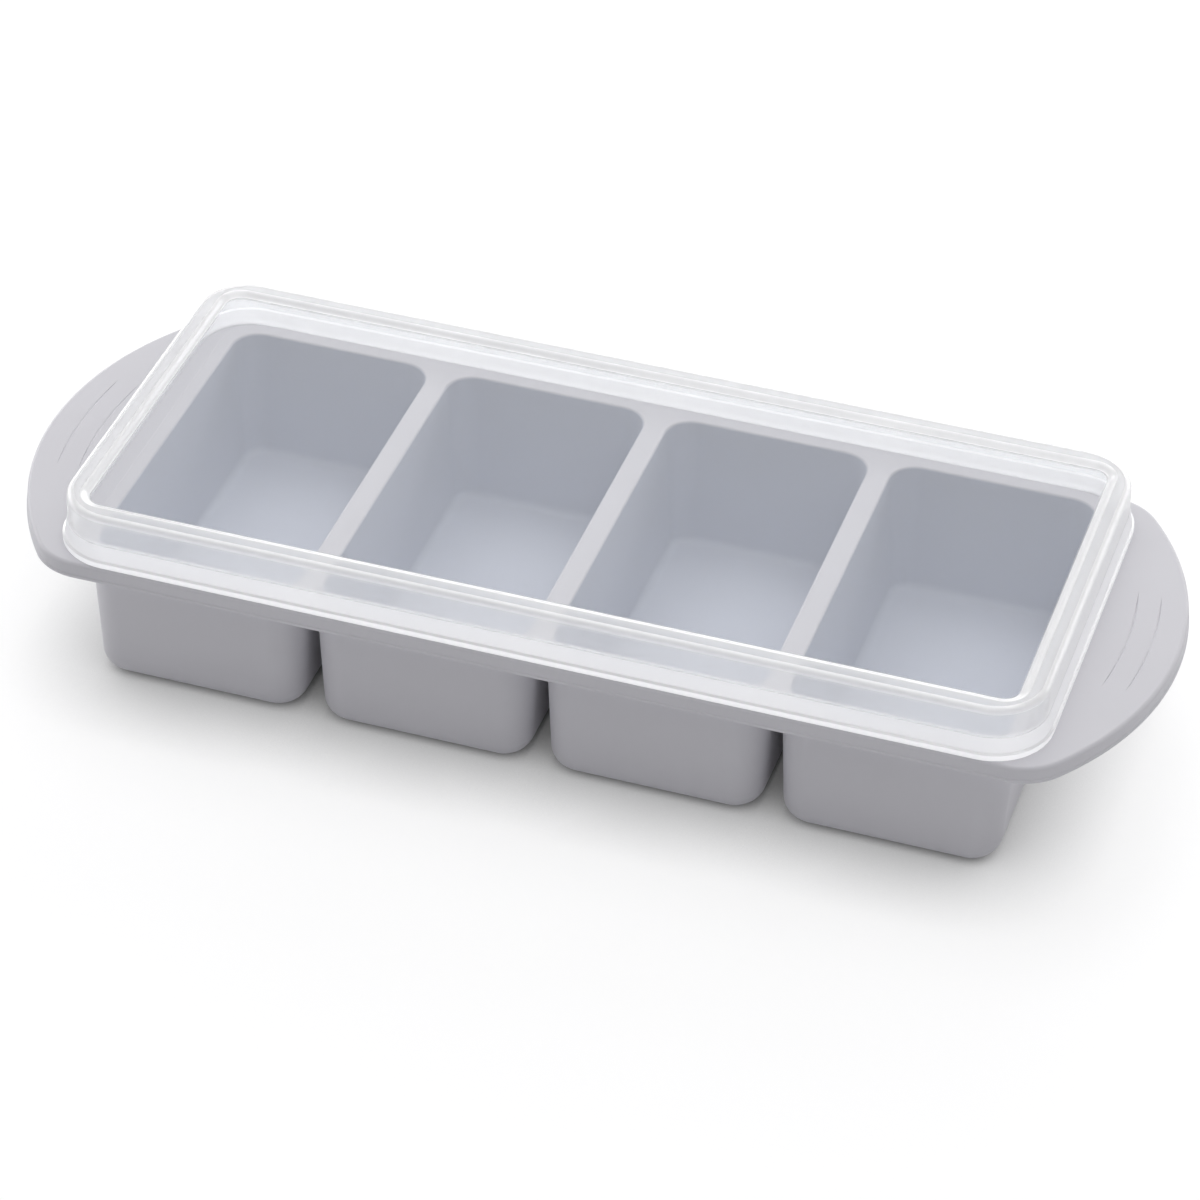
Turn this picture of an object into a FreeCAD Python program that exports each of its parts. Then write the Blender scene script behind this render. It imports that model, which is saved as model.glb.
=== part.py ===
import FreeCAD, Part
import math
import os

# Freezer tray for baby food: a one-piece silicone tray of four deep cells in a row, with a
# crescent handle at each end, a steel frame moulded into its rim, and a lift-off plastic lid.
#
# Own frame, in millimetres: +X runs along the row of cells, +Y across it, +Z up.
# The origin is the middle of the tray on the surface that the four pods stand on.

# ---- driving dimensions -------------------------------------------------------------------

# rim and handles
TOTAL_LENGTH = 334.0       # from handle tip to handle tip
RIM_WIDTH = 129.2          # straight long sides, over the parting step
RIM_TOP = 43.2             # height of the handles' top face above the table
RIM_THICKNESS = 4.9        # edge height of rim and handles
RIM_TOP_BREAK = 0.8        # broken upper edge
PARTING_STEP = 0.35        # the lower mould half leaves the edge this much proud
PARTING_HEIGHT = 1.0       # height of that proud band
HANDLE_ARC = 94.0          # radius of the handles' outer edge
HANDLE_CORNER = 17.0       # blend from the handle's arc into the long side

# deck: the low plateau round the cells that the lid drops over
DECK_RISE = 0.9
DECK_BREAK = 0.4           # broken upper edge

# cells and the pods around them
CELL_COUNT = 4
CELL_PITCH = 67.2
CELL_LENGTH = 60.2         # along X, at the mouth
CELL_WIDTH = 113.6         # along Y, at the mouth
CELL_CORNER = 8.0          # upright corners at the mouth
CELL_DRAFT = 2.0           # each wall leans in this much from mouth to floor
CELL_FLOOR_COVE = 3.5      # slope between walls and floor
CELL_MOUTH_BREAK = 1.0     # broken edge at the mouth
WALL = 2.6                 # silicone wall and floor
POD_FOOT_ROUND = 6.5       # lower outside edge of a pod

# grip grooves: two fine crescents sunk into the top of each handle
GROOVE_REACH = (151.6, 158.2)   # distance of their middles from the tray's centre
GROOVE_HALF_LENGTH = 22.5
GROOVE_BOW = 2.0                # how far the middle stands out from the ends
GROOVE_BREADTH = 1.3            # at the middle; the ends run out to points
GROOVE_DEPTH = 0.7

# stiffening frame inside the rim: a closed loop of flat steel round the row of cells
FRAME_STRIP = 3.0          # width of the strip, lying flat
FRAME_THICKNESS = 1.6
FRAME_GAP = 2.4            # silicone between the cells and the frame

# lid
LID_LENGTH = 284.6         # over the lip
LID_WIDTH = 128.0          # over the lip
LID_HEIGHT = 15.8          # from the handles' top face to the raised border
LID_CORNER = 17.5          # at the lip
LID_SKIN = 1.2
LIP_HEIGHT = 2.1
LIP_PROUD = 0.7            # lip beyond the foot of the flare
LIP_BREAK = 0.5            # broken upper edge
FLARE_TOP = 6.5            # the side wall flares out below this height
FLARE_OUT = 0.5
SIDE_DRAFT = 0.2           # lean of the side wall above the flare
BORDER_ROUND = 2.2         # outer edge of the raised border
BORDER_CORE_BREAK = 0.6    # the same edge on the inside, where the skin stays even
BORDER_WIDTH = 7.0         # from the side wall to the sunk window
WINDOW_DEPTH = 1.2         # how far the window lies below the border
WINDOW_CORNER = 6.0
WINDOW_BREAK = 0.5         # broken edge round the window
LID_FIT = 0.35             # gap between the lid's lip and the deck

# ---- worked out from the above ------------------------------------------------------------

DECK_TOP = RIM_TOP + DECK_RISE
RIM_BOTTOM = RIM_TOP - RIM_THICKNESS
DRAFT_PER_MM = CELL_DRAFT / (DECK_TOP - WALL)
CELL_CENTRES = [(i - (CELL_COUNT - 1) / 2) * CELL_PITCH for i in range(CELL_COUNT)]
ROW_LENGTH = (CELL_COUNT - 1) * CELL_PITCH + CELL_LENGTH
Z_UP = FreeCAD.Vector(0, 0, 1)
TOUCH = 0.01               # slack when an edge is picked by where it lies


# ---- shared shapes ------------------------------------------------------------------------

def rounded_rectangle(length, width, radius, height, centre_x=0.0):
    """Closed wire: a rectangle with round corners, lying level at the given height."""
    x, y = length / 2, width / 2
    diagonal = radius * (1 - math.sqrt(0.5))
    corners = [(1, 1), (-1, 1), (-1, -1), (1, -1)]
    arcs = []
    for sx, sy in corners:
        on_side = FreeCAD.Vector(centre_x + sx * x, sy * (y - radius), height)
        middle = FreeCAD.Vector(centre_x + sx * (x - diagonal), sy * (y - diagonal), height)
        on_end = FreeCAD.Vector(centre_x + sx * (x - radius), sy * y, height)
        # keep one sense of rotation all the way round
        first, last = (on_side, on_end) if sx * sy > 0 else (on_end, on_side)
        arcs.append((first, middle, last))
    edges = []
    for i, (first, middle, last) in enumerate(arcs):
        edges.append(Part.Arc(first, middle, last).toShape())
        edges.append(Part.makeLine(last, arcs[(i + 1) % 4][0]))
    return Part.Wire(edges)


def tapered_block(lower, upper):
    """Solid between two wires of the same kind."""
    return Part.makeLoft([lower, upper], True, True)


def handle_outline(inset, height):
    """Closed wire round rim and handles, moved inwards by inset."""
    tip = TOTAL_LENGTH / 2
    side = RIM_WIDTH / 2 - inset
    arc = HANDLE_ARC - inset
    corner = HANDLE_CORNER - inset
    arc_x = tip - HANDLE_ARC                       # centre of the handle's arc
    blend_y = side - corner
    blend_x = arc_x + math.sqrt((arc - corner) ** 2 - blend_y ** 2)
    meet = math.atan2(blend_y, blend_x - arc_x)    # where arc and corner touch
    between = (meet + math.pi / 2) / 2             # halfway round the corner

    def on_corner(angle, sx, sy):
        x = blend_x + corner * math.cos(angle)
        y = blend_y + corner * math.sin(angle)
        return FreeCAD.Vector(sx * x, sy * y, height)

    def on_arc(angle, sx):
        return FreeCAD.Vector(sx * (arc_x + arc * math.cos(angle)), arc * math.sin(angle), height)

    def end(sx):
        """Corner, arc and corner of one handle, from +Y to -Y; the arc is split at its tip."""
        upper = [on_corner(a, sx, 1) for a in (math.pi / 2, between, meet)]
        lower = [on_corner(a, sx, -1) for a in (meet, between, math.pi / 2)]
        tip_point = on_arc(0, sx)
        return [
            Part.Arc(*upper).toShape(),
            Part.Arc(upper[-1], on_arc(meet / 2, sx), tip_point).toShape(),
            Part.Arc(tip_point, on_arc(-meet / 2, sx), lower[0]).toShape(),
            Part.Arc(*lower).toShape(),
        ]

    def long_side(y):
        return Part.makeLine(FreeCAD.Vector(-blend_x, y, height), FreeCAD.Vector(blend_x, y, height))

    return Part.Wire([long_side(side)] + end(1) + [long_side(-side)] + end(-1)[::-1])


def slab(wire, thickness):
    return Part.Face(wire).extrude(Z_UP * thickness)


def edges_at(shape, height, half_length=TOTAL_LENGTH, half_width=RIM_WIDTH):
    """Edges that lie level at a height, no further out than the two limits."""
    found = []
    for edge in shape.Edges:
        box = edge.BoundBox
        level = abs(box.ZMin - height) < 1e-4 and abs(box.ZMax - height) < 1e-4
        inside_x = max(box.XMax, -box.XMin) < half_length
        inside_y = max(box.YMax, -box.YMin) < half_width
        if level and inside_x and inside_y:
            found.append(edge)
    return found


# ---- tray ---------------------------------------------------------------------------------

def rim():
    """Flat rim with both handles; its lower band stands proud at the mould's parting line."""
    band = slab(handle_outline(0.0, RIM_BOTTOM), PARTING_HEIGHT)
    edge_height = RIM_THICKNESS - PARTING_HEIGHT
    edge = slab(handle_outline(PARTING_STEP, RIM_BOTTOM + PARTING_HEIGHT), edge_height)
    edge = edge.makeChamfer(RIM_TOP_BREAK, edges_at(edge, RIM_TOP))
    return band.fuse(edge)


def deck():
    """Low plateau inside the lid's lip; it keeps the lid centred."""
    back = 2 * (LIP_PROUD + LID_SKIN + LID_FIT)
    outline = rounded_rectangle(LID_LENGTH - back, LID_WIDTH - back, LID_CORNER - back / 2, RIM_TOP)
    plateau = slab(outline, DECK_RISE)
    return plateau.makeChamfer(DECK_BREAK, edges_at(plateau, DECK_TOP))


def cell_section(centre_x, height, grow):
    """The drafted cell's outline at a height; grow = 0 inside, WALL outside."""
    lean = DRAFT_PER_MM * (DECK_TOP - height)
    length = CELL_LENGTH + 2 * (grow - lean)
    width = CELL_WIDTH + 2 * (grow - lean)
    return rounded_rectangle(length, width, CELL_CORNER + grow - lean, height, centre_x)


def pod(centre_x):
    """Outside of one cell, from the table up into the rim."""
    top = RIM_TOP - RIM_TOP_BREAK
    body = tapered_block(cell_section(centre_x, 0, WALL), cell_section(centre_x, top, WALL))
    return body.makeFillet(POD_FOOT_ROUND, edges_at(body, 0))


def cell(centre_x):
    """The hollow of one cell, coved where its walls meet the floor."""
    hollow = tapered_block(cell_section(centre_x, WALL, 0), cell_section(centre_x, DECK_TOP, 0))
    return hollow.makeChamfer(CELL_FLOOR_COVE, edges_at(hollow, WALL))


def groove(side, reach):
    """Crescent cutter for one grip groove: two arcs that share their ends."""
    end_x = reach - GROOVE_BOW
    ends = [FreeCAD.Vector(side * end_x, sy * GROOVE_HALF_LENGTH, RIM_TOP) for sy in (1, -1)]
    outer = FreeCAD.Vector(side * (reach + GROOVE_BREADTH / 2), 0, RIM_TOP)
    inner = FreeCAD.Vector(side * (reach - GROOVE_BREADTH / 2), 0, RIM_TOP)
    wire = Part.Wire([
        Part.Arc(ends[0], outer, ends[1]).toShape(),
        Part.Arc(ends[1], inner, ends[0]).toShape(),
    ])
    return Part.Face(wire).extrude(-Z_UP * GROOVE_DEPTH)


def rim_frame():
    """Closed loop of flat steel round the row of cells, halfway up the rim."""
    height = RIM_BOTTOM + (RIM_THICKNESS - FRAME_THICKNESS) / 2

    def block(grow):
        length = ROW_LENGTH + 2 * grow
        width = CELL_WIDTH + 2 * grow
        return slab(rounded_rectangle(length, width, CELL_CORNER + grow, height), FRAME_THICKNESS)

    return block(FRAME_GAP + FRAME_STRIP).cut(block(FRAME_GAP))


def build_tray(frame):
    """One moulding: rim, deck and pods, hollowed into cells, with the frame's channel in it."""
    body = rim().fuse([deck()] + [pod(x) for x in CELL_CENTRES]).removeSplitter()
    body = body.cut([cell(x) for x in CELL_CENTRES])
    mouths = edges_at(body, DECK_TOP, ROW_LENGTH / 2 + TOUCH, CELL_WIDTH / 2 + TOUCH)
    body = body.makeChamfer(CELL_MOUTH_BREAK, mouths)
    grooves = [groove(side, reach) for side in (1, -1) for reach in GROOVE_REACH]
    return body.cut(grooves).cut(frame)


# ---- lid ----------------------------------------------------------------------------------

def lid_outline(inset, height, corner=None):
    """Outline of the lid, moved inwards from the lip's outer face."""
    radius = LID_CORNER - inset if corner is None else corner
    return rounded_rectangle(LID_LENGTH - 2 * inset, LID_WIDTH - 2 * inset, radius, RIM_TOP + height)


def build_lid():
    """Thin lid: lip, flared side wall, raised border and a window sunk one step below it."""
    flare_foot = LIP_PROUD
    wall_foot = flare_foot + FLARE_OUT
    wall_top = wall_foot + SIDE_DRAFT

    # outside: lip, flare and side wall
    lip = slab(lid_outline(0, 0), LIP_HEIGHT)
    lip = lip.makeChamfer(LIP_BREAK, edges_at(lip, RIM_TOP + LIP_HEIGHT))
    flare = tapered_block(lid_outline(flare_foot, 0), lid_outline(wall_foot, FLARE_TOP))
    wall = tapered_block(lid_outline(wall_foot, FLARE_TOP), lid_outline(wall_top, LID_HEIGHT))
    wall = wall.makeFillet(BORDER_ROUND, edges_at(wall, RIM_TOP + LID_HEIGHT))
    outside = lip.fuse([flare, wall])

    # inside: the same steps one skin further in
    ceiling = LID_HEIGHT - LID_SKIN
    low = tapered_block(lid_outline(flare_foot + LID_SKIN, 0), lid_outline(wall_foot + LID_SKIN, FLARE_TOP))
    high = tapered_block(lid_outline(wall_foot + LID_SKIN, FLARE_TOP), lid_outline(wall_top + LID_SKIN, ceiling))
    high = high.makeChamfer(BORDER_CORE_BREAK, edges_at(high, RIM_TOP + ceiling))

    # window: a flat panel one step below the raised border
    window_inset = wall_top + BORDER_WIDTH
    panel_under = ceiling - WINDOW_DEPTH
    sunk = slab(lid_outline(window_inset, LID_HEIGHT - WINDOW_DEPTH, WINDOW_CORNER), WINDOW_DEPTH)
    panel_outline = lid_outline(window_inset - LID_SKIN, panel_under, WINDOW_CORNER + LID_SKIN)
    panel = slab(panel_outline, WINDOW_DEPTH)
    hollow = low.fuse(high).cut(panel)

    lid = outside.cut(hollow).cut(sunk).removeSplitter()
    window_half_length = LID_LENGTH / 2 - window_inset
    window_half_width = LID_WIDTH / 2 - window_inset
    top = RIM_TOP + LID_HEIGHT
    rim_of_window = edges_at(lid, top, window_half_length + TOUCH, window_half_width + TOUCH)
    return lid.makeChamfer(WINDOW_BREAK, rim_of_window)


# ---- write one file per piece -------------------------------------------------------------

def one_solid(shape, name):
    solids = shape.Solids
    print(name, "solids", len(solids), "valid", shape.isValid(), "ml", round(shape.Volume / 1000, 1))
    return solids[0] if len(solids) == 1 else shape


frame = rim_frame()
pieces = {
    "tray": build_tray(frame),
    "rim_frame": frame,
    "lid": build_lid(),
}
os.makedirs("parts", exist_ok=True)
for name, shape in pieces.items():
    one_solid(shape, name).exportStep("parts/" + name + ".step")
print("cell holds, ml", round(cell(0).Volume / 1000, 1))
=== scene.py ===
# %% [markdown]
# # Freezer tray for baby food
# A one-piece silicone tray with four deep cells, and a clear lid that lifts off. Two things
# make it look real: the soft rounds that a mould leaves on every edge, and two plastics that
# answer light differently. Both pieces are therefore built from their true cross-sections.

# %% Load the frame
import math

import bmesh
import bpy
from mathutils import Matrix, Vector


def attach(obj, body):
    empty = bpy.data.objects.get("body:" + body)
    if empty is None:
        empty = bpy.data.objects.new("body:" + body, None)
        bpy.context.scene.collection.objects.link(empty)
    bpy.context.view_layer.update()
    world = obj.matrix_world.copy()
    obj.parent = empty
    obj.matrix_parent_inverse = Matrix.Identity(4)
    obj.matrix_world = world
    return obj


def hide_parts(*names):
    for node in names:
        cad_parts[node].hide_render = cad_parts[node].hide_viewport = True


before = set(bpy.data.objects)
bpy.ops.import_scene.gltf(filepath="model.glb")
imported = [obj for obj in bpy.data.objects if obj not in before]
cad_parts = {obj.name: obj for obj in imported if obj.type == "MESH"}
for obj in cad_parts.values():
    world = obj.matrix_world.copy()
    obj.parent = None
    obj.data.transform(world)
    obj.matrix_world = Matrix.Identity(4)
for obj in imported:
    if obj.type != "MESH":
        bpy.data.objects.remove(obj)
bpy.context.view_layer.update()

MM = 0.001

# %% [markdown]
# ## Cross-sections and rings
# Tray and lid are both closed walls that run round a rectangle with round corners. One way is
# to cut blocks from each other and bevel the edges; that leaves uneven faces in the corners.
# Here a cross-section is walked from edge to edge, and at each of its points one level ring is
# laid round the piece. Rings with the same number of points join up as clean four-sided faces.

# %% Rings round a rectangle
CORNER_STEPS = 12                       # pieces that one quarter turn is cut into


def ring(half_x, half_y, radius, z):
    """Level ring of points, in mm, round a rectangle with round corners."""
    points = []
    for side_x, side_y, first in ((1, 1, 0), (-1, 1, 90), (-1, -1, 180), (1, -1, 270)):
        for step in range(CORNER_STEPS + 1):
            angle = math.radians(first + 90 * step / CORNER_STEPS)
            x = side_x * (half_x - radius) + radius * math.cos(angle)
            y = side_y * (half_y - radius) + radius * math.sin(angle)
            points.append((x, y, z))
    return points


def turn(inset, z, radius, first, last, steps):
    """Points (inset, z) of an arc in a cross-section; 0 degrees is inwards, 90 is up."""
    arc = []
    for step in range(steps + 1):
        angle = math.radians(first + (last - first) * step / steps)
        arc.append((inset + radius * math.cos(angle), z + radius * math.sin(angle)))
    return arc


def lay(mesh, points):
    """Adds one closed ring of vertices, given in mm."""
    return [mesh.verts.new(Vector(p) * MM) for p in points]


def join_rings(mesh, rings):
    """Four-sided faces between each ring and the next."""
    for lower, upper in zip(rings, rings[1:]):
        count = len(lower)
        for i in range(count):
            j = (i + 1) % count
            mesh.faces.new((lower[i], lower[j], upper[j], upper[i]))


def loop_edges(mesh, points):
    """A closed line of edges through points in mm, for filling a flat plate."""
    verts = lay(mesh, points)
    return [mesh.edges.new((verts[i - 1], verts[i])) for i in range(len(verts))]


def fill_plate(mesh, outline, holes):
    """Flat plate inside an outline, with holes in it."""
    edges = loop_edges(mesh, outline)
    for hole in holes:
        edges += loop_edges(mesh, hole)
    bmesh.ops.triangle_fill(mesh, edges=edges, use_beauty=True)


# %% [markdown]
# ## Finishing a piece
# The parts of a moulding are laid side by side, so their shared points are welded and all
# faces are turned outwards. Smooth shading alone would tip the light on a flat plate near its
# rounds. The Weighted Normal modifier lets the large flat faces lead, and the rounds follow.

# %% Weld, turn outwards, shade
CREASE = 32                             # degrees; anything sharper stays a crisp edge
WELD = 0.002                            # mm; points nearer than this become one


def finish_piece(mesh, name):
    """Welds the parts of a piece, turns its faces outwards and makes it an object."""
    bmesh.ops.remove_doubles(mesh, verts=mesh.verts, dist=WELD * MM)
    bmesh.ops.recalc_face_normals(mesh, faces=mesh.faces)
    open_edges = sum(1 for edge in mesh.edges if not edge.is_manifold)
    data = bpy.data.meshes.new(name)
    mesh.to_mesh(data)
    mesh.free()
    data.shade_smooth()
    data.set_sharp_from_angle(angle=math.radians(CREASE))
    piece = bpy.data.objects.new(name, data)
    bpy.context.scene.collection.objects.link(piece)
    print(name, "faces", len(data.polygons), "open edges", open_edges)
    return piece


def flat_faces_lead(piece):
    """Lets the large flat faces set the shading, so rounds run into them without a ripple."""
    weighted = piece.modifiers.new("flat faces lead", "WEIGHTED_NORMAL")
    weighted.mode = "FACE_AREA"
    weighted.weight = 100
    weighted.keep_sharp = True


# %% [markdown]
# ## The cells
# Each cell is a deep drafted hollow with its own pod below, so the silicone wall stays even
# and a finger can push the pod in to free a frozen portion. The four are alike, so one is
# modelled and Geometry Nodes sets the row out by count and pitch.

# %% One cell: hollow inside, pod outside
RIM_TOP = 43.2
RIM_BOTTOM = 38.3
DECK_TOP = 44.1
WALL = 2.6
CELL_COUNT = 4
CELL_PITCH = 67.2
CELL_HALF = (60.2 / 2, 113.6 / 2)       # at the mouth
CELL_CORNER = 8.0
LEAN_PER_MM = 2.0 / (DECK_TOP - WALL)   # mould draft of every wall
MOUTH_ROUND = 0.7
FLOOR_ROUND = 2.4
FOOT_ROUND = 6.5
ROOT_ROUND = 0.7                        # where a pod meets the rim's underside
SHARED_RINGS = 4                        # first rings of a section, which keep the tray's grey


def lean(z):
    """How far a wall has drafted inwards at this height."""
    return LEAN_PER_MM * (DECK_TOP - z)


def cell_ring(inset, z):
    """Ring at a distance inwards from the cell's mouth."""
    return ring(CELL_HALF[0] - inset, CELL_HALF[1] - inset, CELL_CORNER - inset, z)


def hollow_section():
    """From the rounded mouth down the inner wall and round to the floor."""
    section = turn(-MOUTH_ROUND, DECK_TOP - MOUTH_ROUND, MOUTH_ROUND, 90, 0, 6)
    section[-1] = (lean(DECK_TOP - MOUTH_ROUND), DECK_TOP - MOUTH_ROUND)
    middle = WALL + FLOOR_ROUND
    centre = lean(middle) + FLOOR_ROUND
    section += turn(centre, middle, FLOOR_ROUND, 180, 270, 8)
    return section


def pod_section():
    """From the rim's underside down the outer wall and round the pod's foot."""
    root = RIM_BOTTOM - ROOT_ROUND
    section = turn(lean(root) - WALL - ROOT_ROUND, root, ROOT_ROUND, 90, 0, 4)
    centre = lean(FOOT_ROUND) - WALL + FOOT_ROUND
    section += turn(centre, FOOT_ROUND, FOOT_ROUND, 180, 270, 9)
    return section


one_cell = bmesh.new()
painted_bounce_blue = one_cell.verts.layers.float.new("painted_bounce_blue")
for bounce_blue_share, section in ((1.0, hollow_section()), (0.0, pod_section())):
    rings = [lay(one_cell, cell_ring(inset, z)) for inset, z in section]
    join_rings(one_cell, rings)
    one_cell.faces.new(rings[-1])
    # painted bounce light: all but the first rings carry a mark that turns the base colour bluer
    for ring_verts in rings[SHARED_RINGS:]:
        for vert in ring_verts:
            vert[painted_bounce_blue] = bounce_blue_share
cell_mesh = bpy.data.meshes.new("one_cell")
one_cell.to_mesh(cell_mesh)
one_cell.free()
print("one cell", len(cell_mesh.polygons), "faces")

# %% [markdown]
# ## Geometry Nodes: the row
# An array modifier would do for a straight row too. A small node tree is chosen because its
# inputs carry the tray's own words, a count and a pitch, so a tray with six cells is one
# number away. It ends in Realize Instances, which turns the copies into real faces.

# %% Set the cells out in a row
def named_input(tree, name, socket_type, value):
    """An input of a node tree; returns the identifier by which a modifier sets it."""
    socket = tree.interface.new_socket(name, in_out="INPUT", socket_type=socket_type)
    socket.default_value = value
    return socket.identifier


def add(tree, kind, settings=None, links=None):
    """One node, with its settings and what is plugged into it."""
    node = tree.nodes.new(kind)
    for key, value in (settings or {}).items():
        if isinstance(key, str) and hasattr(node, key):
            setattr(node, key, value)
        else:
            node.inputs[key].default_value = value
    for key, source in (links or {}).items():
        tree.links.new(source, node.inputs[key])
    return node


def row_tree(material):
    """Copies of one cell at an even pitch, centred on the tray's middle."""
    tree = bpy.data.node_groups.new("row of cells", "GeometryNodeTree")
    tree.interface.new_socket("Cell", in_out="INPUT", socket_type="NodeSocketGeometry")
    ids = {
        "Count": named_input(tree, "Count", "NodeSocketInt", 2),
        "Pitch": named_input(tree, "Pitch", "NodeSocketFloat", 0.05),
    }
    tree.interface.new_socket("Row", in_out="OUTPUT", socket_type="NodeSocketGeometry")
    given = add(tree, "NodeGroupInput")
    less_one = add(tree, "ShaderNodeMath", {"operation": "SUBTRACT", 1: 1.0},
                   {0: given.outputs["Count"]})
    span = add(tree, "ShaderNodeMath", {"operation": "MULTIPLY"},
               {0: less_one.outputs[0], 1: given.outputs["Pitch"]})
    half = add(tree, "ShaderNodeMath", {"operation": "MULTIPLY", 1: -0.5}, {0: span.outputs[0]})
    left_end = add(tree, "ShaderNodeCombineXYZ", {}, {"X": half.outputs[0]})
    step = add(tree, "ShaderNodeCombineXYZ", {}, {"X": given.outputs["Pitch"]})
    line = add(tree, "GeometryNodeMeshLine", {"mode": "OFFSET"},
               {"Count": given.outputs["Count"], "Start Location": left_end.outputs[0],
                "Offset": step.outputs[0]})
    row = add(tree, "GeometryNodeInstanceOnPoints", {},
              {"Points": line.outputs[0], "Instance": given.outputs["Cell"]})
    real = add(tree, "GeometryNodeRealizeInstances", {}, {0: row.outputs[0]})
    painted = add(tree, "GeometryNodeSetMaterial", {"Material": material},
                  {"Geometry": real.outputs[0]})
    add(tree, "NodeGroupOutput", {}, {0: painted.outputs[0]})
    return tree, ids


def plain_mesh(source, tree, ids, values):
    """Runs a node tree on a mesh and hands back the result as a plain mesh."""
    carrier = bpy.data.objects.new("carrier", source)
    bpy.context.scene.collection.objects.link(carrier)
    modifier = carrier.modifiers.new("nodes", "NODES")
    modifier.node_group = tree
    for name, value in values.items():
        modifier[ids[name]] = value
    ready = carrier.evaluated_get(bpy.context.evaluated_depsgraph_get())
    mesh = bpy.data.meshes.new_from_object(ready)
    carrier.modifiers.remove(modifier)
    bpy.data.objects.remove(carrier)
    return mesh


silicone = bpy.data.materials.new("moulded silicone, satin")
tree, ids = row_tree(silicone)
row_mesh = plain_mesh(cell_mesh, tree, ids, {"Count": CELL_COUNT, "Pitch": CELL_PITCH * MM})
print("row", len(row_mesh.polygons), "faces")

# %% [markdown]
# ## Rim and handles
# The rim's edge shows how the mould opens: its lower band stands a third of a millimetre
# proud, where the two mould halves met. The outline has straight sides, a corner blend and
# one wide arc round each handle, and the same cross-section runs all the way round it. A
# quarter of the outline is worked out, and mirroring its points gives the other three.

# %% The outline of rim and handles
TIP = 167.0                             # reach of the handles from the tray's centre
RIM_HALF_WIDTH = 64.6
HANDLE_ARC = 94.0
HANDLE_CORNER = 17.0
ARC_STEPS = 24                          # pieces that half of a handle's arc is cut into


def handle_ring(inset, z):
    """Level ring round rim and handles, at a distance inwards from their outer edge."""
    arc_x = TIP - HANDLE_ARC
    arc = HANDLE_ARC - inset
    corner = HANDLE_CORNER - inset
    blend_y = RIM_HALF_WIDTH - HANDLE_CORNER
    blend_x = arc_x + math.sqrt((HANDLE_ARC - HANDLE_CORNER) ** 2 - blend_y ** 2)
    meet = math.atan2(blend_y, blend_x - arc_x)
    quarter = []
    for step in range(ARC_STEPS + 1):
        angle = meet * step / ARC_STEPS
        quarter.append((arc_x + arc * math.cos(angle), arc * math.sin(angle)))
    for step in range(1, CORNER_STEPS + 1):
        angle = meet + (math.pi / 2 - meet) * step / CORNER_STEPS
        quarter.append((blend_x + corner * math.cos(angle), blend_y + corner * math.sin(angle)))
    back = quarter[::-1]
    upper_left = [(-x, y) for x, y in back]
    lower_left = [(-x, -y) for x, y in quarter[1:]]
    lower_right = [(x, -y) for x, y in back[:-1]]
    return [(x, y, z) for x, y in quarter + upper_left + lower_left + lower_right]


# %% The rim's section, laid round the outline
PARTING_STEP = 0.35
PARTING_TOP = RIM_BOTTOM + 0.7
LOWER_ROUND = 0.3
EDGE_ROUND = 1.2


def rim_section():
    """From the rim's underside over the parting band to its top."""
    section = turn(LOWER_ROUND, RIM_BOTTOM + LOWER_ROUND, LOWER_ROUND, 270, 180, 3)
    section += [(0.0, PARTING_TOP), (PARTING_STEP, PARTING_TOP + PARTING_STEP)]
    section += turn(PARTING_STEP + EDGE_ROUND, RIM_TOP - EDGE_ROUND, EDGE_ROUND, 180, 90, 6)
    return section


tray_mesh = bmesh.new()
tray_mesh.from_mesh(row_mesh)
rim_rings = [handle_ring(inset, z) for inset, z in rim_section()]
join_rings(tray_mesh, [lay(tray_mesh, points) for points in rim_rings])
print("rim rings", len(rim_rings), "of", len(rim_rings[0]), "points")

# %% [markdown]
# ## Deck, grip grooves and flat plates
# The deck is a plateau under a millimetre high that the lid drops over. Two crescent grooves
# in each handle are what a wet thumb finds. A bump map could fake them, but a groove is seen
# by its own shadow from every side, so it is cut: the plate has a crescent hole, and two
# slopes run from its edges down to one line.

# %% The deck's step
LID_HALF = (284.6 / 2, 128.0 / 2)       # over the lip
LIP_PROUD = 0.7
LID_SKIN = 1.2
LID_FIT = 0.35                          # room between the deck and the lid's inner foot
DECK_ROUND = 0.5
DECK_END = 4.3                          # from the end cells' mouths
DECK_CORNER = 12.5
DECK_FILLET = 0.15                      # small slope where the step meets the rim

deck_half_x = (CELL_COUNT - 1) * CELL_PITCH / 2 + CELL_HALF[0] + DECK_END
deck_half_y = LID_HALF[1] - LIP_PROUD - LID_SKIN - LID_FIT
deck_section = [(-DECK_FILLET, RIM_TOP), (0.0, RIM_TOP + DECK_FILLET)]
deck_section += turn(DECK_ROUND, DECK_TOP - DECK_ROUND, DECK_ROUND, 180, 90, 4)
deck_rings = [ring(deck_half_x - inset, deck_half_y - inset, DECK_CORNER - inset, z)
              for inset, z in deck_section]
join_rings(tray_mesh, [lay(tray_mesh, points) for points in deck_rings])
print("deck", round(2 * deck_half_x, 2), "x", round(2 * deck_half_y, 2), "mm")

# %% Grip grooves
GROOVE_REACHES = (151.6, 158.2)         # of their middles, from the tray's centre
GROOVE_HALF_LENGTH = 22.5
GROOVE_BOW = 2.0
GROOVE_BREADTH = 0.9
GROOVE_DEPTH = 0.28
GROOVE_STEPS = 24


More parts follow.
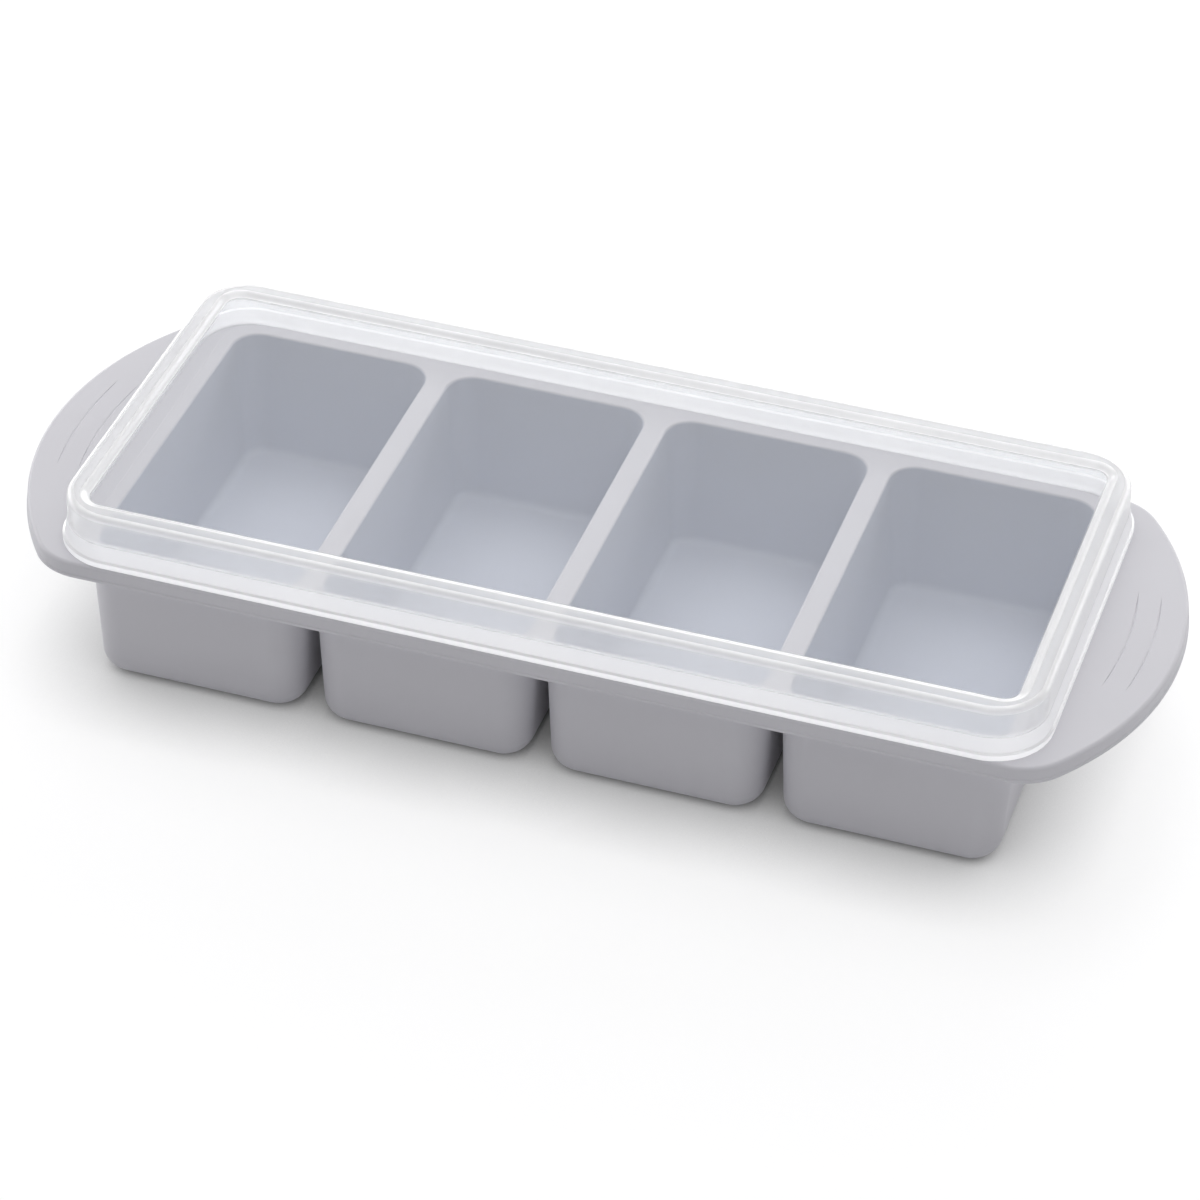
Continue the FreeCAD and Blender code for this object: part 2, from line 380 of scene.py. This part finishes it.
def grip_groove(side, reach):
    """Outline of one crescent groove, and its bottom line, which runs out at both tips."""
    outer, inner, bottom = [], [], []
    for step in range(GROOVE_STEPS + 1):
        share = 2 * step / GROOVE_STEPS - 1
        hump = 1 - share * share
        x = reach - GROOVE_BOW + GROOVE_BOW * hump
        y = GROOVE_HALF_LENGTH * share
        outer.append((side * (x + GROOVE_BREADTH / 2 * hump), y, RIM_TOP))
        inner.append((side * (x - GROOVE_BREADTH / 2 * hump), y, RIM_TOP))
        bottom.append((side * x, y, RIM_TOP - GROOVE_DEPTH * min(1.0, 3 * hump)))
    return outer, inner, bottom


def cut_groove(mesh, outer, inner, bottom):
    """Two slopes from the groove's edges down to its bottom line."""
    top, low, base = lay(mesh, outer), lay(mesh, inner), lay(mesh, bottom)
    for i in range(len(outer) - 1):
        mesh.faces.new((top[i], top[i + 1], base[i + 1], base[i]))
        mesh.faces.new((base[i], base[i + 1], low[i + 1], low[i]))


groove_outlines = []
for side in (1, -1):
    for reach in GROOVE_REACHES:
        outer, inner, bottom = grip_groove(side, reach)
        cut_groove(tray_mesh, outer, inner, bottom)
        groove_outlines.append(outer + inner[-2:0:-1])
print("grooves", len(groove_outlines))

# %% Flat plates, and the whole tray
cell_centres = [(i - (CELL_COUNT - 1) / 2) * CELL_PITCH for i in range(CELL_COUNT)]


def row_of(points):
    """The same outline at every cell."""
    return [[(x + centre, y, z) for x, y, z in points] for centre in cell_centres]


mouth = cell_ring(*hollow_section()[0])
root = cell_ring(*pod_section()[0])
fill_plate(tray_mesh, rim_rings[-1], [deck_rings[0]] + groove_outlines)
fill_plate(tray_mesh, deck_rings[-1], row_of(mouth))
fill_plate(tray_mesh, rim_rings[0], row_of(root))
tray = finish_piece(tray_mesh, "tray_moulding")
flat_faces_lead(tray)
tray.data.materials.clear()
tray.data.materials.append(silicone)

# %% [markdown]
# ## The lid
# A thin lid moulded from polypropylene. Its cross-section is one closed line: over the clear
# window and the raised border, down the side, out over the foot flare to the thick lip, and
# back up inside at an even skin. A real inner and outer wall is what lets light bend in it.
# The line is kept in named zones, because the plastic is clearer in some than in others.

# %% The lid's sizes
LID_TOP = RIM_TOP + 15.8
LIP_TOP = RIM_TOP + 2.1
FLARE_TOP = RIM_TOP + 6.5
FLARE_OUT = 0.95
SIDE_DRAFT = 0.2
BORDER_ROUND = 1.7
BORDER_WIDTH = 6.1                      # from the side wall to the middle of the step
WINDOW_DEPTH = 1.2
LID_CORNER = 17.5
WINDOW_CORNER = 6.0
RAMP = 1.1                              # half the width of the step round the window
RAMP_STEPS = 8
KINK = 0.25                             # height of the soft bend where wall becomes flare
LEDGE_FALL = 0.3                        # slope of the small ledge on top of the lip
LIP_ROUND = 0.2                         # along the lip's lower edge
SPARE = 0.4                             # flat run left between a round and the next zone

# these three are distances inwards from the lip
wall_foot = LIP_PROUD + FLARE_OUT
wall_top = wall_foot + SIDE_DRAFT
window_inset = wall_top + BORDER_WIDTH
print("window", round(2 * (LID_HALF[0] - window_inset), 1), "x",
      round(2 * (LID_HALF[1] - window_inset), 1), "mm")

# %% [markdown]
# Each zone is a list of points, a distance inwards from the lip and a height. The small bare
# numbers in them are fractions of a millimetre by which a ring stands off its bend. They keep
# the bends soft, and let one zone's finish change into the next one's within the bend.


# %% The outer line
def ramp(middle, low, high):
    """Soft S-shaped step round the window, from its low side to its high side."""
    points = []
    for step in range(RAMP_STEPS + 1):
        share = step / RAMP_STEPS
        rise = share * share * (3 - 2 * share)
        points.append((middle + RAMP * (1 - 2 * share), low + (high - low) * rise))
    return points


def lid_outside():
    """Zones and their points, from the window over the border to the foot of the lip."""
    panel = LID_TOP - WINDOW_DEPTH
    border = [(window_inset - RAMP - SPARE, LID_TOP), (wall_top + BORDER_ROUND + SPARE, LID_TOP)]
    bend = turn(wall_top + BORDER_ROUND, LID_TOP - BORDER_ROUND, BORDER_ROUND, 90, 180, 10)
    wall = [(wall_top - 0.01, LID_TOP - BORDER_ROUND - 0.6), (wall_foot + 0.02, FLARE_TOP + KINK)]
    flare = [(wall_foot - 0.14, FLARE_TOP), (LIP_PROUD + 0.05, LIP_TOP + 0.2)]
    ledge = [(LIP_PROUD - 0.05, LIP_TOP), (0.03, LIP_TOP - LEDGE_FALL)]
    lip = [(0.0, LIP_TOP - LEDGE_FALL - 0.06)]
    lip += turn(LIP_ROUND, RIM_TOP + LIP_ROUND, LIP_ROUND, 180, 270, 2)
    return [
        ("window", [(window_inset + 1.6, panel)]),
        ("step", ramp(window_inset, panel, LID_TOP)),
        ("border", border),
        ("round", bend),
        ("wall", wall),
        ("flare", flare),
        ("ledge", ledge),
        ("lip", lip),
    ]


# %% The inner line
def lid_inside():
    """The same, one skin further in, from the foot of the lip back up to the window."""
    ceiling = LID_TOP - LID_SKIN
    bend = BORDER_ROUND - LID_SKIN
    foot = wall_foot + LID_SKIN
    top = wall_top + LID_SKIN
    return [
        ("flare inside", [(LIP_PROUD + LID_SKIN, RIM_TOP), (foot - 0.25, FLARE_TOP - 0.6)]),
        ("kink inside", [(foot - 0.12, FLARE_TOP), (foot + 0.02, FLARE_TOP + KINK)]),
        ("wall inside", [(foot + 0.04, FLARE_TOP + 0.8), (top - 0.03, ceiling - bend - 1.5)]),
        ("round inside", turn(top + bend, ceiling - bend, bend, 180, 90, 6)),
        ("border inside", [(top + bend + SPARE, ceiling), (window_inset - RAMP - 0.7, ceiling)]),
        ("step inside", ramp(window_inset - 0.3, ceiling - WINDOW_DEPTH, ceiling)[::-1]),
        ("ceiling", [(window_inset + 1.4, ceiling - WINDOW_DEPTH)]),
    ]


# %% [markdown]
# ## How milky each zone is
# One material serves the whole lid, and two numbers on each point tell it what to be there.
# Separate materials for window and wall would be simpler, and would leave a hard line where
# they meet. The first number is how milky the plastic looks: nearly clear where it is thin
# and polished, white where it is thick or bent. The second is how much of that milk shows
# the light from behind it. Between two rings both run evenly from one value to the next.

# %% What each zone is like
ZONES = {
    "window": (0.03, 0.0),
    "step": (0.95, 0.0),
    "border": (0.42, 0.0),
    "round": (0.98, 0.0),
    "wall": (0.15, 0.9),
    "flare": (0.85, 0.8),
    "ledge": (1.0, 0.0),
    "lip": (1.0, 0.95),
    "flare inside": (0.6, 0.25),
    "kink inside": (0.8, 0.7),
    "wall inside": (0.19, 0.6),
    "round inside": (0.6, 0.5),
    "border inside": (0.25, 0.3),
    "step inside": (0.8, 0.3),
    "ceiling": (0.0, 0.0),
}
FADES = {"round": (0.15, 0.9)}          # a zone that changes on its way, and what it ends as
print("zones", len(ZONES))


# %% Build the lid
def lid_corner(inset):
    """Corner radius of a ring: even walls outside the border, the window's own inside it."""
    if inset > (wall_top + window_inset) / 2:
        return WINDOW_CORNER + window_inset - inset
    return LID_CORNER - inset


def lid_ring(inset, z):
    """Level ring round the lid, at a distance inwards from its lip."""
    return ring(LID_HALF[0] - inset, LID_HALF[1] - inset, lid_corner(inset), z)


def build_lid():
    """Joins the rings and writes each ring's two numbers on its points."""
    mesh = bmesh.new()
    haze = mesh.verts.layers.float.new("haze")
    backlit = mesh.verts.layers.float.new("backlit")
    rings = []
    for zone, points in lid_outside() + lid_inside():
        first = ZONES[zone]
        last = FADES.get(zone, first)
        for number, (inset, z) in enumerate(points):
            # squared, so that a bend keeps its first look for most of its turn
            share = (number / max(1, len(points) - 1)) ** 2
            rings.append(lay(mesh, lid_ring(inset, z)))
            for vert in rings[-1]:
                vert[haze] = first[0] + (last[0] - first[0]) * share
                vert[backlit] = first[1] + (last[1] - first[1]) * share
    join_rings(mesh, rings)
    mesh.faces.new(rings[0])
    mesh.faces.new(rings[-1])
    return finish_piece(mesh, "lid_moulding")


lid = build_lid()
flat_faces_lead(lid)

# %% [markdown]
# ## Finishes
# Colours are written as sRGB hex values, as a maker's swatch would give them, and turned to
# linear light once. Every pattern is sized in millimetres: a noise texture on Object
# coordinates repeats about once per 1/scale metres, so the scale is worked out from the size.

# %% Helpers for materials
COLOUR_A, COLOUR_B, COLOUR_OUT = 6, 7, 2    # a Mix node's sockets when it mixes colours


def linear(hex_code):
    """sRGB hex to linear red, green, blue and alpha."""
    channels = []
    for i in (0, 2, 4):
        value = int(hex_code[i:i + 2], 16) / 255
        channels.append(value / 12.92 if value <= 0.04045 else ((value + 0.055) / 1.055) ** 2.4)
    return (*channels, 1.0)


def per_mm(size_mm):
    """Noise scale for features of this size."""
    return 1000.0 / size_mm


def bare(material):
    """Empties a material; returns its tree, its shader, its output and Object coordinates."""
    material.use_nodes = True
    tree = material.node_tree
    tree.nodes.clear()
    output = add(tree, "ShaderNodeOutputMaterial")
    shader = add(tree, "ShaderNodeBsdfPrincipled")
    tree.links.new(shader.outputs[0], output.inputs["Surface"])
    place = add(tree, "ShaderNodeTexCoord").outputs["Object"]
    return tree, shader, output, place


# %% [markdown]
# ## Silicone
# Platinum silicone, moulded in a tool whose faces are finely eroded: no gloss, a soft satin,
# and a faint dustiness where hands have been. Index about 1.41, never metallic. Its grey is
# cool, and thickness and cure leave it very slightly uneven over a few centimetres.

# %% Satin silicone
tree, shader, output, place = bare(silicone)
clouds = add(tree, "ShaderNodeTexNoise", {"Scale": per_mm(45), "Detail": 3.0, "Roughness": 0.5},
             {"Vector": place})
tint = add(tree, "ShaderNodeMix",
           {"data_type": "RGBA", COLOUR_A: linear("d0cfd4"), COLOUR_B: linear("d4d3d8")},
           {"Factor": clouds.outputs["Fac"]})
# painted bounce light: the hollows get a bluer base colour, standing in for the blue that light
# takes up bouncing from wall to wall in a cell
painted_bounce_blue = add(tree, "ShaderNodeAttribute", {"attribute_name": "painted_bounce_blue"}).outputs["Fac"]
bounce_tinted = add(tree, "ShaderNodeMix", {"data_type": "RGBA", COLOUR_B: linear("cfd3dd")},
           {"Factor": painted_bounce_blue, COLOUR_A: tint.outputs[COLOUR_OUT]})
smears = add(tree, "ShaderNodeTexNoise", {"Scale": per_mm(14), "Detail": 4.0, "Roughness": 0.6},
             {"Vector": place})
satin = add(tree, "ShaderNodeMapRange",
            {"From Min": 0.3, "From Max": 0.7, "To Min": 0.44, "To Max": 0.54},
            {"Value": smears.outputs["Fac"]})
# eroded tool texture is about 0.1 mm; drawn at 0.9 mm so that it shows at all
grain = add(tree, "ShaderNodeTexNoise", {"Scale": per_mm(0.9), "Detail": 2.0}, {"Vector": place})
waves = add(tree, "ShaderNodeTexNoise", {"Scale": per_mm(30), "Detail": 1.0}, {"Vector": place})
slow = add(tree, "ShaderNodeBump", {"Strength": 0.25, "Distance": 0.6 * MM},
           {"Height": waves.outputs["Fac"]})
fine = add(tree, "ShaderNodeBump", {"Strength": 0.2, "Distance": 0.04 * MM},
           {"Height": grain.outputs["Fac"], "Normal": slow.outputs[0]})
tree.links.new(bounce_tinted.outputs[COLOUR_OUT], shader.inputs["Base Color"])
tree.links.new(satin.outputs[0], shader.inputs["Roughness"])
tree.links.new(fine.outputs[0], shader.inputs["Normal"])
shader.inputs["IOR"].default_value = 1.41
shader.inputs["Sheen Weight"].default_value = 0.08
shader.inputs["Sheen Roughness"].default_value = 0.5
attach(tray, "tray_body")
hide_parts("tray")
print("tray dressed in", silicone.name)

# %% [markdown]
# ## Rolled steel
# The frame is cut from cold-rolled stainless strip, so fine lines run along it. It is sealed
# inside the silicone, and it keeps its finish for whoever takes the tray apart.

# %% Rolled stainless strip
steel = bpy.data.materials.new("cold-rolled stainless strip")
tree, shader, output, place = bare(steel)
along = add(tree, "ShaderNodeMapping", {"Scale": (0.04, 1.0, 1.0)}, {"Vector": place})
lines = add(tree, "ShaderNodeTexNoise", {"Scale": per_mm(0.5), "Detail": 3.0},
            {"Vector": along.outputs[0]})
shade = add(tree, "ShaderNodeMix",
            {"data_type": "RGBA", COLOUR_A: linear("b9b9b7"), COLOUR_B: linear("cfcfcd")},
            {"Factor": lines.outputs["Fac"]})
gloss = add(tree, "ShaderNodeMapRange",
            {"From Min": 0.3, "From Max": 0.7, "To Min": 0.25, "To Max": 0.38},
            {"Value": lines.outputs["Fac"]})
marks = add(tree, "ShaderNodeBump", {"Strength": 0.15, "Distance": 0.03 * MM},
            {"Height": lines.outputs["Fac"]})
tree.links.new(shade.outputs[COLOUR_OUT], shader.inputs["Base Color"])
tree.links.new(gloss.outputs[0], shader.inputs["Roughness"])
tree.links.new(marks.outputs[0], shader.inputs["Normal"])
shader.inputs["Metallic"].default_value = 1.0
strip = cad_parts["rim_frame"]
if not strip.material_slots:
    strip.data.materials.append(steel)
for slot in strip.material_slots:
    slot.material = steel
print("steel slots", len(strip.material_slots))

# %% [markdown]
# ## Clear and milky plastic
# Natural polypropylene is slightly milky, and it looks whiter where light has further to go
# in it: along the round edges and in the thick lip. The window is thin and polished, so it
# looks clear. Cycles could trace the scattering in a volume, at a high cost in noise. Here
# the shader mixes glass and matt white by each ring's own milkiness.

# %% Natural polypropylene
plastic = bpy.data.materials.new("natural polypropylene, moulded")
tree, shader, output, place = bare(plastic)
haze = add(tree, "ShaderNodeAttribute", {"attribute_name": "haze"}).outputs["Fac"]
clouds = add(tree, "ShaderNodeTexNoise", {"Scale": per_mm(30), "Detail": 3.0}, {"Vector": place})
tint = add(tree, "ShaderNodeMix",
           {"data_type": "RGBA", COLOUR_A: linear("f8f9fb"), COLOUR_B: linear("fcfdfe")},
           {"Factor": clouds.outputs["Fac"]})
scuffs = add(tree, "ShaderNodeTexNoise", {"Scale": per_mm(9), "Detail": 4.0}, {"Vector": place})
polish = add(tree, "ShaderNodeMapRange",
             {"From Min": 0.3, "From Max": 0.7, "To Min": -0.01, "To Max": 0.02},
             {"Value": scuffs.outputs["Fac"]})
# the milky zones come from a blasted part of the tool, the clear ones from a polished part
rough = add(tree, "ShaderNodeMapRange",
            {"From Min": 0.06, "From Max": 0.4, "To Min": 0.035, "To Max": 0.14}, {"Value": haze})
uneven = add(tree, "ShaderNodeMath", {"operation": "ADD"},
             {0: rough.outputs[0], 1: polish.outputs[0]})
clear = add(tree, "ShaderNodeMath", {"operation": "SUBTRACT", 0: 1.0}, {1: haze})
flow = add(tree, "ShaderNodeTexNoise", {"Scale": per_mm(22), "Detail": 1.0}, {"Vector": place})
ripple = add(tree, "ShaderNodeBump", {"Strength": 0.05, "Distance": 0.5 * MM},
             {"Height": flow.outputs["Fac"]})
skin = add(tree, "ShaderNodeMapRange", {"From Min": 0.1, "From Max": 0.5}, {"Value": haze})
tree.links.new(tint.outputs[COLOUR_OUT], shader.inputs["Base Color"])
tree.links.new(uneven.outputs[0], shader.inputs["Roughness"])
tree.links.new(clear.outputs[0], shader.inputs["Transmission Weight"])
tree.links.new(ripple.outputs[0], shader.inputs["Normal"])
tree.links.new(skin.outputs[0], shader.inputs["Coat Weight"])
shader.inputs["Coat Roughness"].default_value = 0.1
shader.inputs["IOR"].default_value = 1.49
shader.inputs["Subsurface Weight"].default_value = 1.0
shader.inputs["Subsurface Radius"].default_value = (1.0, 1.0, 1.0)
shader.inputs["Subsurface Scale"].default_value = 4.0 * MM
shader.inputs["Sheen Weight"].default_value = 1.0
shader.inputs["Sheen Roughness"].default_value = 0.4

# %% [markdown]
# Two more things make it a thin skin and not white paint. Its walls glow with the light that
# falls on their far side, which a Translucent shader does. And glass stops lamp light in
# Cycles, so that what it covers looks dull: here rays from lamps, and those between matt
# surfaces, go straight through, less what the milkiness holds back.

# %% Let light through the lid
CLEAR_PASSES = (0.99, 0.99, 0.99, 1)    # what one surface lets through, clear and milky
MILKY_PASSES = (0.84, 0.84, 0.85, 1)
GLOW = (0.965, 0.965, 0.965, 1)

path = add(tree, "ShaderNodeLightPath")
lamp_light = add(tree, "ShaderNodeMath", {"operation": "MAXIMUM"},
                 {0: path.outputs["Is Shadow Ray"], 1: path.outputs["Is Diffuse Ray"]})
passed = add(tree, "ShaderNodeMix",
             {"data_type": "RGBA", COLOUR_A: CLEAR_PASSES, COLOUR_B: MILKY_PASSES},
             {"Factor": haze})
open_way = add(tree, "ShaderNodeBsdfTransparent", {}, {"Color": passed.outputs[COLOUR_OUT]})
through = add(tree, "ShaderNodeBsdfTranslucent", {"Color": GLOW})
backlit = add(tree, "ShaderNodeAttribute", {"attribute_name": "backlit"}).outputs["Fac"]
glowing = add(tree, "ShaderNodeMath", {"operation": "MULTIPLY"}, {0: haze, 1: backlit})
body = add(tree, "ShaderNodeMixShader", {},
           {0: glowing.outputs[0], 1: shader.outputs[0], 2: through.outputs[0]})
either = add(tree, "ShaderNodeMixShader", {},
             {0: lamp_light.outputs[0], 1: body.outputs[0], 2: open_way.outputs[0]})
tree.links.new(either.outputs[0], output.inputs["Surface"])
lid.data.materials.append(plastic)
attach(lid, "lid_body")
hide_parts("lid")
print("lid dressed in", plastic.name)

# %% [markdown]
# ## Floor and light
# Two broad softboxes hang above, one of them behind and to the left, because a narrow lamp
# would leave hard shadows under the pods. Two low ones stand behind and at the left, as a
# lit backdrop does, and shine through the lid's walls. The floor is near white by its own
# colour. It adds light of its own only for rays that look at it, from the camera, through the
# clear lid or off a gloss, so it doesn't light the object. The room does the same: it looks
# white, and lights far less. Close to the object an ambient occlusion mask takes the floor's
# own light away, which paints a contact shadow round the tray on top of the real one.

# %% Floor
FLOOR_HALF = 6.0                        # metres
OWN_LIGHT = 0.72                        # share of the floor's white that it gives by itself


def seen_rays(tree):
    """1 for rays that look: from the camera, through clear plastic, or off a gloss."""
    path = add(tree, "ShaderNodeLightPath")
    direct = add(tree, "ShaderNodeMath", {"operation": "MAXIMUM"},
                 {0: path.outputs["Is Camera Ray"], 1: path.outputs["Is Transmission Ray"]})
    seen = add(tree, "ShaderNodeMath", {"operation": "MAXIMUM"},
               {0: direct.outputs[0], 1: path.outputs["Is Glossy Ray"]})
    return seen.outputs[0]


floor_mesh = bmesh.new()
bmesh.ops.create_grid(floor_mesh, x_segments=1, y_segments=1, size=FLOOR_HALF)
floor_data = bpy.data.meshes.new("floor")
floor_mesh.to_mesh(floor_data)
floor_mesh.free()
floor = bpy.data.objects.new("floor", floor_data)
bpy.context.scene.collection.objects.link(floor)
paper = bpy.data.materials.new("matt white paper sweep")
tree, shader, output, place = bare(paper)
fibres = add(tree, "ShaderNodeTexNoise", {"Scale": per_mm(60), "Detail": 2.0}, {"Vector": place})
white = add(tree, "ShaderNodeMix",
            {"data_type": "RGBA", COLOUR_A: linear("f4f4f5"), COLOUR_B: linear("f8f8f9")},
            {"Factor": fibres.outputs["Fac"]})
shader.inputs["Roughness"].default_value = 0.5
seen = seen_rays(tree)
own_light = add(tree, "ShaderNodeMath", {"operation": "MULTIPLY", 1: OWN_LIGHT}, {0: seen})
# painted contact shadow: ambient occlusion within 30 mm takes the floor's own light away next to
# the tray
painted_contact_shade = add(tree, "ShaderNodeAmbientOcclusion", {"samples": 8, "Distance": 30 * MM})
own_light_with_painted_shadow = add(tree, "ShaderNodeMath", {"operation": "MULTIPLY"},
           {0: own_light.outputs[0], 1: painted_contact_shade.outputs["AO"]})
# what glows reflects that much less, so that the sum stays a plain white
surface = add(tree, "ShaderNodeMix", {"data_type": "RGBA", COLOUR_B: (0, 0, 0, 1)},
              {"Factor": own_light.outputs[0], COLOUR_A: white.outputs[COLOUR_OUT]})
tree.links.new(surface.outputs[COLOUR_OUT], shader.inputs["Base Color"])
shader.inputs["Emission Color"].default_value = (1, 1, 1, 1)
tree.links.new(own_light_with_painted_shadow.outputs[0], shader.inputs["Emission Strength"])
floor.data.materials.append(paper)


# %% Lamps
def softbox(name, place, width, height, watts):
    """A rectangular lamp at a place in metres, turned towards the tray."""
    data = bpy.data.lights.new(name, "AREA")
    data.shape = "RECTANGLE"
    data.size, data.size_y, data.energy = width, height, watts
    lamp = bpy.data.objects.new(name, data)
    lamp.location = place
    lamp.rotation_euler = (-Vector(place)).to_track_quat("-Z", "Y").to_euler()
    bpy.context.scene.collection.objects.link(lamp)
    print(name, watts, "W, area", round(width * height, 2), "square metres")


softbox("overhead", (0.38, -0.2, 1.6), width=1.6, height=1.2, watts=8.6)
softbox("back left", (-0.4, 0.6, 1.45), width=1.3, height=0.9, watts=8.0)
softbox("backdrop", (0.3, 1.3, 0.45), width=2.0, height=0.7, watts=8.6)
softbox("left side", (-1.3, 0.5, 0.3), width=1.6, height=0.5, watts=7.0)

# %% Room light
ROOM_LIGHT = 0.27                       # share of its white with which it lights the object

world = bpy.data.worlds.new("room")
bpy.context.scene.world = world
world.use_nodes = True
back = world.node_tree.nodes["Background"]
back.inputs["Color"].default_value = linear("fbfbfd")
level = add(world.node_tree, "ShaderNodeMapRange", {"To Min": ROOM_LIGHT, "To Max": 1.0},
            {"Value": seen_rays(world.node_tree)})
world.node_tree.links.new(level.outputs[0], back.inputs["Strength"])

# %% [markdown]
# ## Camera
# A long lens from about 1.3 metres away, so that the far handle is hardly smaller than the
# near one. Yaw, pitch and roll are turned into a matrix of the camera's own axes.

# %% Camera
YAW, PITCH, ROLL = (math.radians(angle) for angle in (-17.48, -37.424, 1.242))
EYE = (310.006, -983.629, 807.271)      # mm
FOCAL_LENGTH = 136.88

ahead = Vector((math.sin(YAW) * math.cos(PITCH), math.cos(YAW) * math.cos(PITCH), math.sin(PITCH)))
level_right = Vector((math.cos(YAW), -math.sin(YAW), 0))
level_up = level_right.cross(ahead)
right = level_right * math.cos(ROLL) + level_up * math.sin(ROLL)
up = level_up * math.cos(ROLL) - level_right * math.sin(ROLL)
lens = bpy.data.cameras.new("camera")
lens.sensor_width = 36
lens.lens = FOCAL_LENGTH
camera = bpy.data.objects.new("camera", lens)
turned = Matrix((right, up, -ahead)).transposed()
camera.matrix_world = Matrix.Translation(Vector(EYE) * MM) @ turned.to_4x4()
bpy.context.scene.collection.objects.link(camera)
bpy.context.scene.camera = camera
bpy.context.scene.view_settings.view_transform = "Standard"
print("camera", round(Vector(EYE).length), "mm from the tray's centre")
